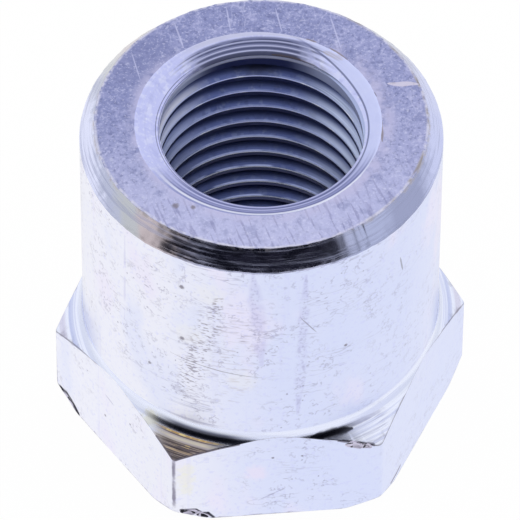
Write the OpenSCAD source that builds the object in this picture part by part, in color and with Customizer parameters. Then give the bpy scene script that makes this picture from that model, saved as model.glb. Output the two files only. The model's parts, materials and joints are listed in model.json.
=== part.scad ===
// Flywheel nut: a hexagon with a long round collar, turned in one piece from hexagon bar.
// Millimetres. The nut stands on its hexagon, with the thread's axis along +Z.

/* [Hexagon] */
// Width across the flats of the hexagon
hex_af = 16; // [14.5:0.1:20]
// Height of the hexagon up to where its shoulder would meet the collar without the fillet
hex_h = 5.25; // [4:0.05:9]
// Slope of the turned shoulder over the corners, in degrees from level
shoulder_slope = 37.5; // [20:0.5:45]
// Radius of the fillet between the shoulder and the collar
shoulder_fillet_r = 1; // [0.3:0.05:1.6]
// Width of the chamfer on the lower corners, measured in from the corner
base_chamfer_w = 0.77; // [0.3:0.01:1.3]
// Height of the chamfer on the lower corners, measured up the corner
base_chamfer_h = 0.73; // [0.3:0.01:1.3]

/* [Collar] */
// Diameter of the round collar
collar_d = 15.9; // [14:0.1:16]
// Height of the collar above the hexagon
collar_h = 12.05; // [6:0.05:20]
// Width of the chamfer round the collar's end face
end_chamfer_w = 0.67; // [0.2:0.01:1.2]
// Height of the chamfer down the side of the collar
end_chamfer_h = 0.87; // [0.2:0.01:1.5]

/* [Threaded bore] */
// Diameter of the bore at the crests of its thread
thread_minor_d = 8.92; // [8:0.01:9.5]
// Diameter of the countersink at the collar's end face
end_countersink_d = 10.7; // [10:0.05:12.5]
// Diameter of the countersink at the hexagon's base
base_countersink_d = 10.7; // [10:0.05:12.5]
// Included angle of both countersinks, in degrees
countersink_angle = 120; // [60:1:140]

/* [Hidden] */
$fn = 128;
// How far the bar and the cutting tools run past the finished surfaces
overrun = 0.25;

nut_h = hex_h + collar_h;
collar_r = collar_d / 2;
hex_corner_r = hex_af / sqrt(3);

// The turned outline runs a little past the corners, so they stay sharp
outline_r = hex_corner_r + overrun;
shoulder_edge_z = hex_h - (outline_r - collar_r) * tan(shoulder_slope);
base_face_r = hex_corner_r - base_chamfer_w;
base_edge_z = (outline_r - base_face_r) * base_chamfer_h / base_chamfer_w;

// The fillet's circle touches the collar and sits a hair under the shoulder's slope,
// so that fillet and shoulder meet in a fine turned line
fillet_sink = 0.02;
fillet_x = collar_r + shoulder_fillet_r;
fillet_z = hex_h - fillet_sink
    + shoulder_fillet_r * (1 / cos(shoulder_slope) - tan(shoulder_slope));
fillet_foot = [
    fillet_x - shoulder_fillet_r * sin(shoulder_slope),
    fillet_z - shoulder_fillet_r * cos(shoulder_slope)
];

minor_r = thread_minor_d / 2;
countersink_rate = tan(countersink_angle / 2);
end_countersink_h = (end_countersink_d / 2 - minor_r) / countersink_rate;
base_countersink_h = (base_countersink_d / 2 - minor_r) / countersink_rate;
countersink_flare = overrun * countersink_rate;

// Half section of the turned outside, from the axis out
module turned_section() {
    polygon([
        [0, 0],
        [base_face_r, 0],
        [outline_r, base_edge_z],
        [outline_r, shoulder_edge_z],
        [collar_r, hex_h],
        [collar_r, nut_h - end_chamfer_h],
        [collar_r - end_chamfer_w, nut_h],
        [0, nut_h]
    ]);
}

// Half section of the fillet at the foot of the collar, run a little into the outline
module shoulder_fillet_section() {
    difference() {
        polygon([
            [collar_r - overrun, hex_h - overrun],
            fillet_foot,
            [fillet_x, fillet_z],
            [collar_r - overrun, fillet_z]
        ]);
        translate([fillet_x, fillet_z]) circle(r = shoulder_fillet_r);
    }
}

// Half section of the bore with its countersinks, run past both faces
module bore_section() {
    polygon([
        [0, -overrun],
        [base_countersink_d / 2 + countersink_flare, -overrun],
        [minor_r, base_countersink_h],
        [minor_r, nut_h - end_countersink_h],
        [end_countersink_d / 2 + countersink_flare, nut_h + overrun],
        [0, nut_h + overrun]
    ]);
}

module hexagon_bar() {
    translate([0, 0, -overrun])
        cylinder(r = hex_corner_r, h = nut_h + 2 * overrun, $fn = 6);
}

module flywheel_nut() {
    color([0.80, 0.82, 0.90])
        difference() {
            intersection() {
                hexagon_bar();
                rotate_extrude() {
                    turned_section();
                    shoulder_fillet_section();
                }
            }
            rotate_extrude() bore_section();
        }
}

flywheel_nut();
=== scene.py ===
import json
import math

import bmesh
import bpy
from mathutils import Matrix, Vector


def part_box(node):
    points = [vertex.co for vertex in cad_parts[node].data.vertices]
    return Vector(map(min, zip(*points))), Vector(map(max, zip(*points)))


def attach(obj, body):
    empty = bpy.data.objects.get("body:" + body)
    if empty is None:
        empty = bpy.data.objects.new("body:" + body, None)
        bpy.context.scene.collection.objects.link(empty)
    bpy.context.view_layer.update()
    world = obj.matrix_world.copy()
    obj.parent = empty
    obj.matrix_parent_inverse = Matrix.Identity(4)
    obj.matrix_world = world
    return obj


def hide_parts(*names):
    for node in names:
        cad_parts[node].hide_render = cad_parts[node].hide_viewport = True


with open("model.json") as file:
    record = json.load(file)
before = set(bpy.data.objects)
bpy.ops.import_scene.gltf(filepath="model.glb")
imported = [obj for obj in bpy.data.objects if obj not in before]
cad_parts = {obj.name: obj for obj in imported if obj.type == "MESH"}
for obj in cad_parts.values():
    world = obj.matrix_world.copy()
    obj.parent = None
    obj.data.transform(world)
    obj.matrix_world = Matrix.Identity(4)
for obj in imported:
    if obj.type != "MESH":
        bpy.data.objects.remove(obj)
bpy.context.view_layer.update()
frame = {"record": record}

MM = 0.001
NODE = "flywheel_nut"

# Sizes that the frame gives
_, nut_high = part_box(NODE)
mounts = {mount["name"]: mount for mount in frame["record"]["mounts"]}
NUT_H = nut_high.z
HEX_CORNER_R = nut_high.x
HEX_APOTHEM = nut_high.y
CREST_R = mounts["thread"]["dims"]["r_mm"] * MM
COUNTERSINK_H = (NUT_H - mounts["thread"]["dims"]["length_mm"] * MM) / 2

# Sizes of the turned outline
COLLAR_R = 7.95 * MM
HEX_H = 5.25 * MM
SHOULDER_SLOPE = math.radians(37.5)
SHOULDER_FILLET_R = 1.0 * MM
FILLET_SINK = 0.02 * MM
BASE_CHAMFER_W = 0.77 * MM
BASE_CHAMFER_H = 0.73 * MM
END_CHAMFER_W = 0.67 * MM
END_CHAMFER_H = 0.87 * MM
END_CHAMFER_Z = NUT_H - END_CHAMFER_H
END_FACE_R = COLLAR_R - END_CHAMFER_W

# The countersink came out a little off the axis
COUNTERSINK_R = 5.35 * MM
COUNTERSINK_SHIFT = Vector((-0.15 * MM, -0.04 * MM))

# Thread
PITCH = 1.0 * MM
ROOT_R = 5.02 * MM
ROOT_FLAT = 0.14 * MM
FLANK_RATE = math.tan(math.radians(30))
THREAD_LIFT = 0.54 * MM
THREAD_MOUTH_R = CREST_R - 0.15 * MM
THREAD_OVERRUN = 1.0 * MM
THREAD_END_TURN = 0.20
THREAD_FADE_TURNS = 0.24
THREAD_POINTS = 120
CREST_BREAK_DEPTH = 0.035 * MM
CREST_BREAK_RATE = math.tan(math.radians(40))

# How far handling has rounded and darkened the corners, from +X round towards +Y; the darkening is wear with
# a painted dark reflection off the rounding
CORNER_SOFT = [0.22 * MM, 0.18 * MM, 0.20 * MM, 0.22 * MM, 0.27 * MM, 0.42 * MM]
CORNER_DARK = [0.6, 0.7, 0.6, 0.7, 0.62, 0.2]

# How far the other edges are rounded
HEX_EDGE_SOFT = 0.11 * MM
EDGE_UNEVEN = 0.45
EDGE_BREAK = 0.08 * MM
CHAMFER_WAVE = 0.05 * MM
BURR_WAVE = 0.03 * MM
CHAMFER_EDGE_SOFT = 0.20 * MM
FACE_EDGE_SOFT = 0.06 * MM
RIM_SOFT = 0.17 * MM

# How high the waves stand that the turning tools left
CHAMFER_RIPPLE = 0.0007 * MM
COUNTERSINK_WAVE = 0.0036 * MM

# How lumpy the chips are, and how far their lumps move on from one chip to the next
CHIP_LUMPS = 0.1
CHIP_LUMP_STEP = 162

# How finely the body is divided
SUPPORT = 0.2 * MM
SOFT_STEPS = 4
FLAT_COLUMNS = 38
CORNER_COLUMNS = 4
FILLET_STEPS = 9
CHAMFER_ROWS = 16
COUNTERSINK_ROWS = 44

REGIONS = [
    "flat", "shoulder", "collar", "chamfer", "end_face", "countersink", "crest", "base",
]


def uneven(place, seed):
    """A slow wobble between -1 and 1 along an edge, the same in every run."""
    waves = (7, 17, 41, 97)
    return sum(math.sin(wave * place + (1 + wave / 13) * seed) for wave in waves) / len(waves)


def soft_arc(before, corner, after, radius):
    """Points that round one corner of the outline, limited by its neighbours."""
    to_before = before - corner
    to_after = after - corner
    reach = min(to_before.length, to_after.length) * 0.45
    half = to_before.angle(to_after) / 2
    cut = min(radius / math.tan(half), reach)
    start = corner + to_before.normalized() * cut
    end = corner + to_after.normalized() * cut
    points = []
    for step in range(SOFT_STEPS + 1):
        t = step / SOFT_STEPS
        points.append(start.lerp(corner, t).lerp(corner.lerp(end, t), t))
    return points


class Outline:
    """Closed half section of the nut, drawn corner by corner."""

    def __init__(self):
        self.corners = []

    def to(self, r, z, region, soft=0.0, edge=0.0, sway=0.0):
        """Adds a corner: the region after it, its rounding, its edge wear and its countersink shift."""
        self.corners.append((Vector((r, z)), region, soft, edge, sway))

    def neighbour(self, index, step):
        here = self.corners[index][0]
        count = len(self.corners)
        for away in range(1, count):
            other = self.corners[(index + step * away) % count][0]
            if (other - here).length > 1e-7:
                return other
        return here

    def rows(self):
        """The section's points with every soft corner drawn as an arc."""
        rows = []
        for index, (corner, region, soft, edge, sway) in enumerate(self.corners):
            if not soft:
                rows.append((corner, region, 0.0, sway))
                continue
            arc = soft_arc(self.neighbour(index, -1), corner, self.neighbour(index, 1), soft)
            for step, point in enumerate(arc):
                wear = edge * (1 - 0.75 * abs(2 * step / SOFT_STEPS - 1))
                rows.append((point, region, wear, sway))
        return rows


def fillet_circle():
    """Centre of the fillet between collar and shoulder, and the radius at which it meets the slope."""
    x = COLLAR_R + SHOULDER_FILLET_R
    rise = 1 / math.cos(SHOULDER_SLOPE) - math.tan(SHOULDER_SLOPE)
    z = HEX_H - FILLET_SINK + SHOULDER_FILLET_R * rise
    depth = FILLET_SINK * math.cos(SHOULDER_SLOPE)
    swing = math.acos(1 - depth / SHOULDER_FILLET_R)
    meet = x - SHOULDER_FILLET_R * math.sin(SHOULDER_SLOPE + swing)
    return Vector((x, z)), meet


FILLET_CENTRE, FILLET_MEET_R = fillet_circle()


def fillet_z(r):
    reach = min(FILLET_CENTRE.x - r, SHOULDER_FILLET_R)
    return FILLET_CENTRE.y - math.sqrt(SHOULDER_FILLET_R ** 2 - reach ** 2)


def shoulder_z(r):
    """Height of the shoulder's surface at a radius."""
    if r < FILLET_MEET_R:
        return fillet_z(r)
    return HEX_H - (r - COLLAR_R) * math.tan(SHOULDER_SLOPE)


def ripple(start, end, first, last, rows, lines, depth):
    """Points along a cut cone with the fine waves that the tool left, and how far along each one is."""
    span = end - start
    across = Vector((span.y, -span.x)).normalized()
    points = []
    for row in range(rows + 1):
        t = first + (last - first) * row / rows
        turns = 2 * math.pi * lines * t ** 0.8
        wave = math.sin(turns) + 0.4 * math.sin(2.3 * turns + 1)
        fade = math.sin(math.pi * row / rows)
        points.append((start + span * t + across * depth * wave * fade, t))
    return points


def section(angle, hex_r):
    """Rows of the half section at one angle, where the hexagon's side stands at hex_r."""
    low_soft = HEX_EDGE_SOFT * (1 + EDGE_UNEVEN * uneven(angle, 2))
    top_soft = HEX_EDGE_SOFT * (1 + EDGE_UNEVEN * uneven(angle, 1))
    base_r = min(HEX_CORNER_R - BASE_CHAMFER_W, hex_r - EDGE_BREAK)
    low_z = (hex_r - base_r) * BASE_CHAMFER_H / BASE_CHAMFER_W
    top_z = shoulder_z(hex_r)
    meet_r = min(hex_r, FILLET_MEET_R)
    chamfer_low = Vector((COLLAR_R, END_CHAMFER_Z + CHAMFER_WAVE * uneven(angle, 3)))
    chamfer_high = Vector((END_FACE_R + BURR_WAVE * uneven(2 * angle, 5), NUT_H))
    rim_soft = RIM_SOFT * (1 + EDGE_UNEVEN * uneven(angle, 6))
    tool_wave = COUNTERSINK_WAVE * (0.12 + 0.88 * max(0, math.sin(angle)) ** 2)
    outline = Outline()
    outline.to(COUNTERSINK_R, 0, "base", RIM_SOFT)
    outline.to(COUNTERSINK_R + SUPPORT, 0, "base")
    outline.to(base_r - SUPPORT, 0, "base")
    outline.to(base_r, 0, "flat", low_soft, 0.8)
    outline.to(hex_r, low_z, "flat", low_soft, 1.0)
    outline.to(hex_r, low_z + SUPPORT, "flat")
    outline.to(hex_r, top_z - SUPPORT, "flat")
    outline.to(hex_r, top_z, "shoulder", top_soft, 1.0)
    # Where a flat cuts into the fillet, the first row lies just inside the flat's rounded edge
    first_step = 0 if hex_r > FILLET_MEET_R else 0.5
    for step in [first_step, *range(1, FILLET_STEPS)]:
        r = meet_r + (COLLAR_R - meet_r) * math.sin(step / FILLET_STEPS * math.pi / 2)
        outline.to(r, shoulder_z(r), "shoulder")
    outline.to(COLLAR_R, FILLET_CENTRE.y, "collar")
    outline.to(COLLAR_R, FILLET_CENTRE.y + SUPPORT, "collar")
    outline.to(COLLAR_R, END_CHAMFER_Z - SUPPORT, "collar")
    outline.to(chamfer_low.x, chamfer_low.y, "chamfer", CHAMFER_EDGE_SOFT)
    for point, _ in ripple(chamfer_low, chamfer_high, 0.2, 0.92, CHAMFER_ROWS, 5, CHAMFER_RIPPLE):
        outline.to(point.x, point.y, "chamfer")
    outline.to(chamfer_high.x, NUT_H, "end_face", FACE_EDGE_SOFT)
    outline.to(END_FACE_R - SUPPORT, NUT_H, "end_face")
    outline.to(COUNTERSINK_R + SUPPORT, NUT_H, "end_face", sway=1)
    outline.to(COUNTERSINK_R, NUT_H, "countersink", rim_soft, sway=1)
    rim = Vector((COUNTERSINK_R, NUT_H))
    bore = Vector((CREST_R, NUT_H - COUNTERSINK_H))
    for point, t in ripple(rim, bore, 0.2, 0.96, COUNTERSINK_ROWS, 5, tool_wave):
        outline.to(point.x, point.y, "countersink", sway=1 - t)
    outline.to(bore.x, bore.y, "crest")
    outline.to(CREST_R, COUNTERSINK_H, "countersink")
    return outline.rows()


def corner_arc(soft):
    """Where the centre of a rounded hexagon corner stands, and half the angle that its arc takes."""
    centre = (HEX_APOTHEM - soft) / math.cos(math.pi / 6)
    half = math.atan2(soft / 2, centre + soft * math.cos(math.pi / 6))
    return centre, half


def hexagon_columns():
    """Angle, hexagon radius and corner darkening (wear and painted dark reflection) of every column, closer
    together round the corners.
    """
    columns = []
    for corner in range(6):
        middle = corner * math.pi / 3
        soft = CORNER_SOFT[corner]
        centre, half = corner_arc(soft)
        for step in range(-CORNER_COLUMNS, CORNER_COLUMNS + 1):
            off = half * step / CORNER_COLUMNS
            r = centre * math.cos(off) + math.sqrt(max(0, soft ** 2 - (centre * math.sin(off)) ** 2))
            wear = CORNER_DARK[corner] * (1 - (step / CORNER_COLUMNS) ** 2)
            columns.append((middle + off, r, wear))
        start = middle + half
        end = middle + math.pi / 3 - corner_arc(CORNER_SOFT[(corner + 1) % 6])[1]
        steps = [0.25, *range(1, FLAT_COLUMNS), FLAT_COLUMNS - 0.25]
        for step in steps:
            angle = start + (end - start) * step / FLAT_COLUMNS
            columns.append((angle, HEX_APOTHEM / math.cos(angle - middle - math.pi / 6), 0.0))
    return columns


def nut_blank():
    """The turned and bored hexagon bar before its thread is cut, with edge wear and the corners' painted
    dark reflection kept on its points.
    """
    bm = bmesh.new()
    edge_layer = bm.verts.layers.float.new("edge")
    columns = hexagon_columns()
    grid = []
    for angle, hex_r, corner_wear_and_reflection in columns:
        line = []
        before = "base"
        for point, region, wear, sway in section(angle, hex_r):
            shift = COUNTERSINK_SHIFT * sway
            place = (point.x * math.cos(angle) + shift.x, point.x * math.sin(angle) + shift.y, point.y)
            vert = bm.verts.new(place)
            on_flat = "flat" in (region, before)
            vert[edge_layer] = max(wear, corner_wear_and_reflection) if on_flat else wear
            before = region
            line.append(vert)
        grid.append(line)
    regions = [region for _, region, _, _ in section(0, HEX_CORNER_R)]
    rows = len(regions)
    for index, here in enumerate(grid):
        there = grid[(index + 1) % len(grid)]
        for row in range(rows):
            after = (row + 1) % rows
            face = bm.faces.new((here[row], there[row], there[after], here[after]))
            face.material_index = REGIONS.index(regions[row])
    bmesh.ops.remove_doubles(bm, verts=bm.verts, dist=2e-7)
    bmesh.ops.dissolve_degenerate(bm, edges=bm.edges, dist=1e-7)
    bmesh.ops.recalc_face_normals(bm, faces=bm.faces)
    mesh = bpy.data.meshes.new("nut_blank")
    bm.to_mesh(mesh)
    bm.free()
    return mesh


def thread_cutter():
    """Geometry nodes that sweep a trapezoid along a right-hand helix and cut it from a mesh."""
    tree = bpy.data.node_groups.new("thread_cutter", "GeometryNodeTree")
    tree.interface.new_socket("Geometry", in_out="OUTPUT", socket_type="NodeSocketGeometry")
    tree.interface.new_socket("Geometry", in_out="INPUT", socket_type="NodeSocketGeometry")
    for name in ("Pitch", "Turns", "Fade Turns", "Start Height"):
        tree.interface.new_socket(name, in_out="INPUT", socket_type="NodeSocketFloat")
    for name in ("Mouth Radius", "Mouth Width", "Root Radius", "Root Width"):
        tree.interface.new_socket(name, in_out="INPUT", socket_type="NodeSocketFloat")
    tree.interface.new_socket("Points Per Turn", in_out="INPUT", socket_type="NodeSocketInt")
    tree.interface.new_socket("Cut Material", in_out="INPUT", socket_type="NodeSocketMaterial")
    nodes = tree.nodes
    links = tree.links
    source = nodes.new("NodeGroupInput").outputs
    sink = nodes.new("NodeGroupOutput").inputs

    def math_node(operation, first, second):
        node = nodes.new("ShaderNodeMath")
        node.operation = operation
        for socket, value in zip(node.inputs, (first, second)):
            if isinstance(value, (int, float)):
                socket.default_value = value
            else:
                links.new(value, socket)
        return node.outputs[0]

    def profile_point(radius, width, side):
        node = nodes.new("ShaderNodeCombineXYZ")
        links.new(math_node("SUBTRACT", radius, source["Mouth Radius"]), node.inputs["X"])
        links.new(math_node("MULTIPLY", width, side), node.inputs["Y"])
        return node.outputs[0]

    helix = nodes.new("GeometryNodeCurveSpiral")
    helix.inputs["Reverse"].default_value = True
    links.new(source["Points Per Turn"], helix.inputs["Resolution"])
    links.new(source["Turns"], helix.inputs["Rotations"])
    links.new(source["Mouth Radius"], helix.inputs["Start Radius"])
    links.new(source["Mouth Radius"], helix.inputs["End Radius"])
    links.new(math_node("MULTIPLY", source["Pitch"], source["Turns"]), helix.inputs["Height"])
    upright = nodes.new("GeometryNodeSetCurveNormal")
    upright.mode = "Z_UP"
    links.new(helix.outputs["Curve"], upright.inputs["Curve"])

    profile = nodes.new("GeometryNodeCurvePrimitiveQuadrilateral")
    profile.mode = "POINTS"
    mouth = (source["Mouth Radius"], source["Mouth Width"])
    root = (source["Root Radius"], source["Root Width"])
    links.new(profile_point(*mouth, -0.5), profile.inputs["Point 1"])
    links.new(profile_point(*root, -0.5), profile.inputs["Point 2"])
    links.new(profile_point(*root, 0.5), profile.inputs["Point 3"])
    links.new(profile_point(*mouth, 0.5), profile.inputs["Point 4"])

    along = nodes.new("GeometryNodeSplineParameter")
    left = math_node("SUBTRACT", 1.0, along.outputs["Factor"])
    turns_left = math_node("MULTIPLY", left, source["Turns"])
    fade = math_node("DIVIDE", turns_left, source["Fade Turns"])
    depth = math_node("MAXIMUM", math_node("MINIMUM", fade, 1.0), 0.02)
    sweep = nodes.new("GeometryNodeCurveToMesh")
    sweep.inputs["Fill Caps"].default_value = True
    links.new(depth, sweep.inputs["Scale"])
    links.new(upright.outputs["Curve"], sweep.inputs["Curve"])
    links.new(profile.outputs["Curve"], sweep.inputs["Profile Curve"])

    height = nodes.new("ShaderNodeCombineXYZ")
    links.new(source["Start Height"], height.inputs["Z"])
    place = nodes.new("GeometryNodeTransform")
    links.new(height.outputs[0], place.inputs["Translation"])
    links.new(sweep.outputs["Mesh"], place.inputs["Geometry"])

    mark = nodes.new("GeometryNodeStoreNamedAttribute")
    mark.data_type = "BOOLEAN"
    mark.domain = "FACE"
    mark.inputs["Name"].default_value = "cut"
    mark.inputs["Value"].default_value = True
    links.new(place.outputs["Geometry"], mark.inputs["Geometry"])

    cut = nodes.new("GeometryNodeMeshBoolean")
    cut.operation = "DIFFERENCE"
    cut.solver = "EXACT"
    links.new(source["Geometry"], cut.inputs["Mesh 1"])
    links.new(mark.outputs["Geometry"], cut.inputs["Mesh 2"])

    realize = nodes.new("GeometryNodeRealizeInstances")
    links.new(cut.outputs["Mesh"], realize.inputs["Geometry"])
    read = nodes.new("GeometryNodeInputNamedAttribute")
    read.data_type = "BOOLEAN"
    read.inputs["Name"].default_value = "cut"
    paint = nodes.new("GeometryNodeSetMaterial")
    links.new(realize.outputs["Geometry"], paint.inputs["Geometry"])
    links.new(read.outputs["Attribute"], paint.inputs["Selection"])
    links.new(source["Cut Material"], paint.inputs["Material"])
    forget = nodes.new("GeometryNodeRemoveAttribute")
    forget.inputs["Name"].default_value = "cut"
    links.new(paint.outputs["Geometry"], forget.inputs["Geometry"])
    links.new(forget.outputs["Geometry"], sink["Geometry"])
    return tree


def baked(mesh, name, add_modifier):
    """Passes a mesh through one modifier and returns the result as a plain mesh."""
    obj = bpy.data.objects.new(name, mesh)
    bpy.context.scene.collection.objects.link(obj)
    add_modifier(obj)
    evaluated = obj.evaluated_get(bpy.context.evaluated_depsgraph_get())
    result = bpy.data.meshes.new_from_object(evaluated)
    bpy.data.objects.remove(obj)
    return result


def cut_thread(mesh, name, tree, values):
    """Runs the thread cutter over a mesh with these inputs."""
    def add_modifier(obj):
        modifier = obj.modifiers.new(name, "NODES")
        modifier.node_group = tree
        for item in tree.interface.items_tree:
            if item.in_out == "INPUT" and item.name in values:
                modifier[item.identifier] = values[item.name]
    return baked(mesh, name, add_modifier)


def groove_width(r):
    return ROOT_FLAT + 2 * (ROOT_R - r) * FLANK_RATE


def threaded(mesh, groove_material, edge_material):
    """Cuts the thread's groove, then breaks the sharp edges of its crests."""
    tree = thread_cutter()
    groove = {
        "Pitch": PITCH,
        "Turns": math.floor((NUT_H + THREAD_OVERRUN - THREAD_LIFT) / PITCH) + THREAD_END_TURN,
        "Fade Turns": THREAD_FADE_TURNS,
        "Start Height": THREAD_LIFT - THREAD_OVERRUN,
        "Mouth Radius": THREAD_MOUTH_R,
        "Mouth Width": groove_width(THREAD_MOUTH_R),
        "Root Radius": ROOT_R,
        "Root Width": ROOT_FLAT,
        "Points Per Turn": THREAD_POINTS,
        "Cut Material": groove_material,
    }
    mesh = cut_thread(mesh, "groove", tree, groove)
    break_r = CREST_R + CREST_BREAK_DEPTH
    break_width = groove_width(break_r)
    edge_break = dict(groove)
    edge_break["Root Radius"] = break_r
    edge_break["Root Width"] = break_width
    edge_break["Mouth Width"] = break_width + 2 * (break_r - THREAD_MOUTH_R) * CREST_BREAK_RATE
    edge_break["Cut Material"] = edge_material
    return cut_thread(mesh, "edge_break", tree, edge_break)


def flat_frame(turn):
    """Outward direction of a hexagon flat, its level direction, and up; turn counts flats from the front."""
    angle = turn * math.pi / 3
    out = Vector((math.sin(angle), -math.cos(angle), 0))
    along = Vector((math.cos(angle), math.sin(angle), 0))
    return out, along, Vector((0, 0, 1))


def scoop(centre, axes, half_sizes, depth, lean):
    """Place of a round cutter that sinks this deep into a face; axes are along, across and out of it."""
    along, across, out = axes
    reach = 2.5 * depth
    turn = Matrix.Rotation(lean, 3, out)
    columns = (
        turn @ along * half_sizes[0],
        turn @ across * half_sizes[1],
        out * reach,
    )
    place = centre + out * (reach - depth)
    return Matrix.Translation(place) @ Matrix(columns).transposed().to_4x4()


def flat_scoop(turn, along_mm, height_mm, half_mm, depth_mm, lean_deg):
    out, along, up = flat_frame(turn)
    centre = out * HEX_APOTHEM + along * along_mm * MM + up * height_mm * MM
    half_sizes = [size * MM for size in half_mm]
    return scoop(centre, (along, up, out), half_sizes, depth_mm * MM, math.radians(lean_deg))


def end_scoop(x_mm, y_mm, half_mm, depth_mm, turn_deg):
    centre = Vector((x_mm * MM, y_mm * MM, NUT_H))
    axes = (Vector((1, 0, 0)), Vector((0, 1, 0)), Vector((0, 0, 1)))
    half_sizes = [size * MM for size in half_mm]
    return scoop(centre, axes, half_sizes, depth_mm * MM, math.radians(turn_deg))


def knock_places():
    """Where knocks took metal off, each with how far the painted shade on its floor reaches: chips, then
    strike marks.
    """
    chips = [
        (flat_scoop(-1, -3.53, 0.44, (0.98, 0.27), 0.07, -20), -0.5),
        (flat_scoop(0, -3.92, 0.60, (0.55, 0.27), 0.14, -8), -0.2),
        (flat_scoop(0, -3.32, 0.36, (0.50, 0.25), 0.12, -22), -0.2),
        (flat_scoop(0, 3.45, 4.50, (0.55, 0.30), 0.10, -16), -0.5),
        (flat_scoop(0, 3.95, 4.38, (0.35, 0.22), 0.07, -16), -0.5),
    ]
    strikes = [
        (end_scoop(6.37, 1.68, (0.80, 0.17), 0.03, -5), 0.0),
    ]
    return chips, strikes


def chip_cutter(place, floor_shade_reach, phase, material):
    """A lumpy ball that takes out one chip."""
    bm = bmesh.new()
    edge_layer = bm.verts.layers.float.new("edge")
    bmesh.ops.create_icosphere(bm, subdivisions=3, radius=1)
    for vert in bm.verts:
        lump = 1 + CHIP_LUMPS * math.sin(5 * vert.co.x + 3 * vert.co.y + phase)
        # The edge attribute tells how high on the floor each point lies, shifted by how far the painted
        # shade reaches
        vert[edge_layer] = vert.co.y / 2 + 0.5 + floor_shade_reach
        vert.co = place @ (vert.co * lump)
    mesh = bpy.data.meshes.new("chip_cutter")
    bm.to_mesh(mesh)
    bm.free()
    mesh.materials.append(material)
    cutter = bpy.data.objects.new("chip_cutter", mesh)
    bpy.context.scene.collection.objects.link(cutter)
    return cutter


def chipped(mesh, cutter):
    """Takes one cutter's form out of a mesh, and the cutter out of the scene."""
    def add_modifier(obj):
        modifier = obj.modifiers.new("chip", "BOOLEAN")
        modifier.operation = "DIFFERENCE"
        modifier.solver = "EXACT"
        modifier.material_mode = "TRANSFER"
        modifier.object = cutter
    result = baked(mesh, "chip", add_modifier)
    bpy.data.objects.remove(cutter)
    return result


def knocked(mesh, chip_material, strike_material):
    """Takes the chips and strike marks out of a mesh, one after the other."""
    chips, strikes = knock_places()
    knocks = [(*chip, chip_material) for chip in chips]
    knocks += [(*strike, strike_material) for strike in strikes]
    for index, (place, floor_shade_reach, material) in enumerate(knocks):
        cutter = chip_cutter(place, floor_shade_reach, CHIP_LUMP_STEP * (index + 1), material)
        mesh = chipped(mesh, cutter)
    return mesh


def tone(red, green, blue):
    """A surface colour given in screen values, as the linear values that shaders take."""
    shares = [value / 255 for value in (red, green, blue)]
    linear = [s / 12.92 if s <= 0.04045 else ((s + 0.055) / 1.055) ** 2.4 for s in shares]
    return (*linear, 1)


class Wiring:
    """Adds nodes to one shader tree; an input is a plain value or another node's output."""

    def __init__(self, tree):
        self.tree = tree

    def add(self, kind, inputs=None, **settings):
        node = self.tree.nodes.new(kind)
        for name, value in settings.items():
            setattr(node, name, value)
        for key, value in (inputs or {}).items():
            self.give(node.inputs[key], value)
        return node

    def give(self, socket, value):
        if isinstance(value, bpy.types.NodeSocket):
            self.tree.links.new(value, socket)
        else:
            socket.default_value = value

    def math(self, operation, first, second=0.0):
        return self.add("ShaderNodeMath", {0: first, 1: second}, operation=operation).outputs[0]

    def vector(self, operation, first, second=(0, 0, 0)):
        node = self.add("ShaderNodeVectorMath", {0: first, 1: second}, operation=operation)
        is_value = operation in ("LENGTH", "DISTANCE", "DOT_PRODUCT")
        return node.outputs["Value" if is_value else "Vector"]

    def scaled(self, vector, scale):
        node = self.add("ShaderNodeVectorMath", {0: vector, "Scale": scale}, operation="SCALE")
        return node.outputs["Vector"]

    def split(self, vector):
        return self.add("ShaderNodeSeparateXYZ", {0: vector}).outputs

    def joined(self, x, y, z):
        return self.add("ShaderNodeCombineXYZ", {0: x, 1: y, 2: z}).outputs[0]

    def ramp(self, value, low, high, to_low=0.0, to_high=1.0):
        """A smooth step from one level to the other as the value goes from low to high."""
        inputs = {"Value": value, "From Min": low, "From Max": high, "To Min": to_low, "To Max": to_high}
        return self.add("ShaderNodeMapRange", inputs, interpolation_type="SMOOTHSTEP").outputs["Result"]

    def mix(self, share, first, second):
        return self.add("ShaderNodeMix", {0: share, 6: first, 7: second}, data_type="RGBA").outputs[2]

    def paint(self, under, mask, colour, amount):
        """Lays a colour over another where the mask is, up to an amount."""
        return self.mix(self.math("MULTIPLY", mask, amount), under, colour)

    def noise(self, vector, scale, detail=2.0):
        settings = {"Vector": vector, "Scale": scale, "Detail": detail}
        return self.add("ShaderNodeTexNoise", settings).outputs[0]

    def effect(self, name, **inputs):
        """Places one of the shared effects and returns its output."""
        node = self.add("ShaderNodeGroup", node_tree=effects[name])
        for key, value in inputs.items():
            self.give(node.inputs[key], value)
        return node.outputs[0]


SOCKETS = {"vector": "NodeSocketVector", "value": "NodeSocketFloat"}


def new_effect(name, inputs, output, output_kind="value"):
    """A shader group with named inputs and one output; returns its wiring, inputs and output socket."""
    tree = bpy.data.node_groups.new(name, "ShaderNodeTree")
    for socket, kind in inputs.items():
        tree.interface.new_socket(socket, in_out="INPUT", socket_type=SOCKETS[kind])
    tree.interface.new_socket(output, in_out="OUTPUT", socket_type=SOCKETS[output_kind])
    wiring = Wiring(tree)
    given = tree.nodes.new("NodeGroupInput").outputs
    result = tree.nodes.new("NodeGroupOutput").inputs[output]
    return wiring, given, result


def stretched_noise():
    """Noise drawn out along one direction: lines per metre in x, y and z."""
    inputs = {"Vector": "vector", "Stretch": "vector", "Detail": "value"}
    w, given, result = new_effect("stretched_noise", inputs, "Value")
    place = w.vector("MULTIPLY", given["Vector"], given["Stretch"])
    w.tree.links.new(w.noise(place, 1.0, given["Detail"]), result)
    return w.tree


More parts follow.
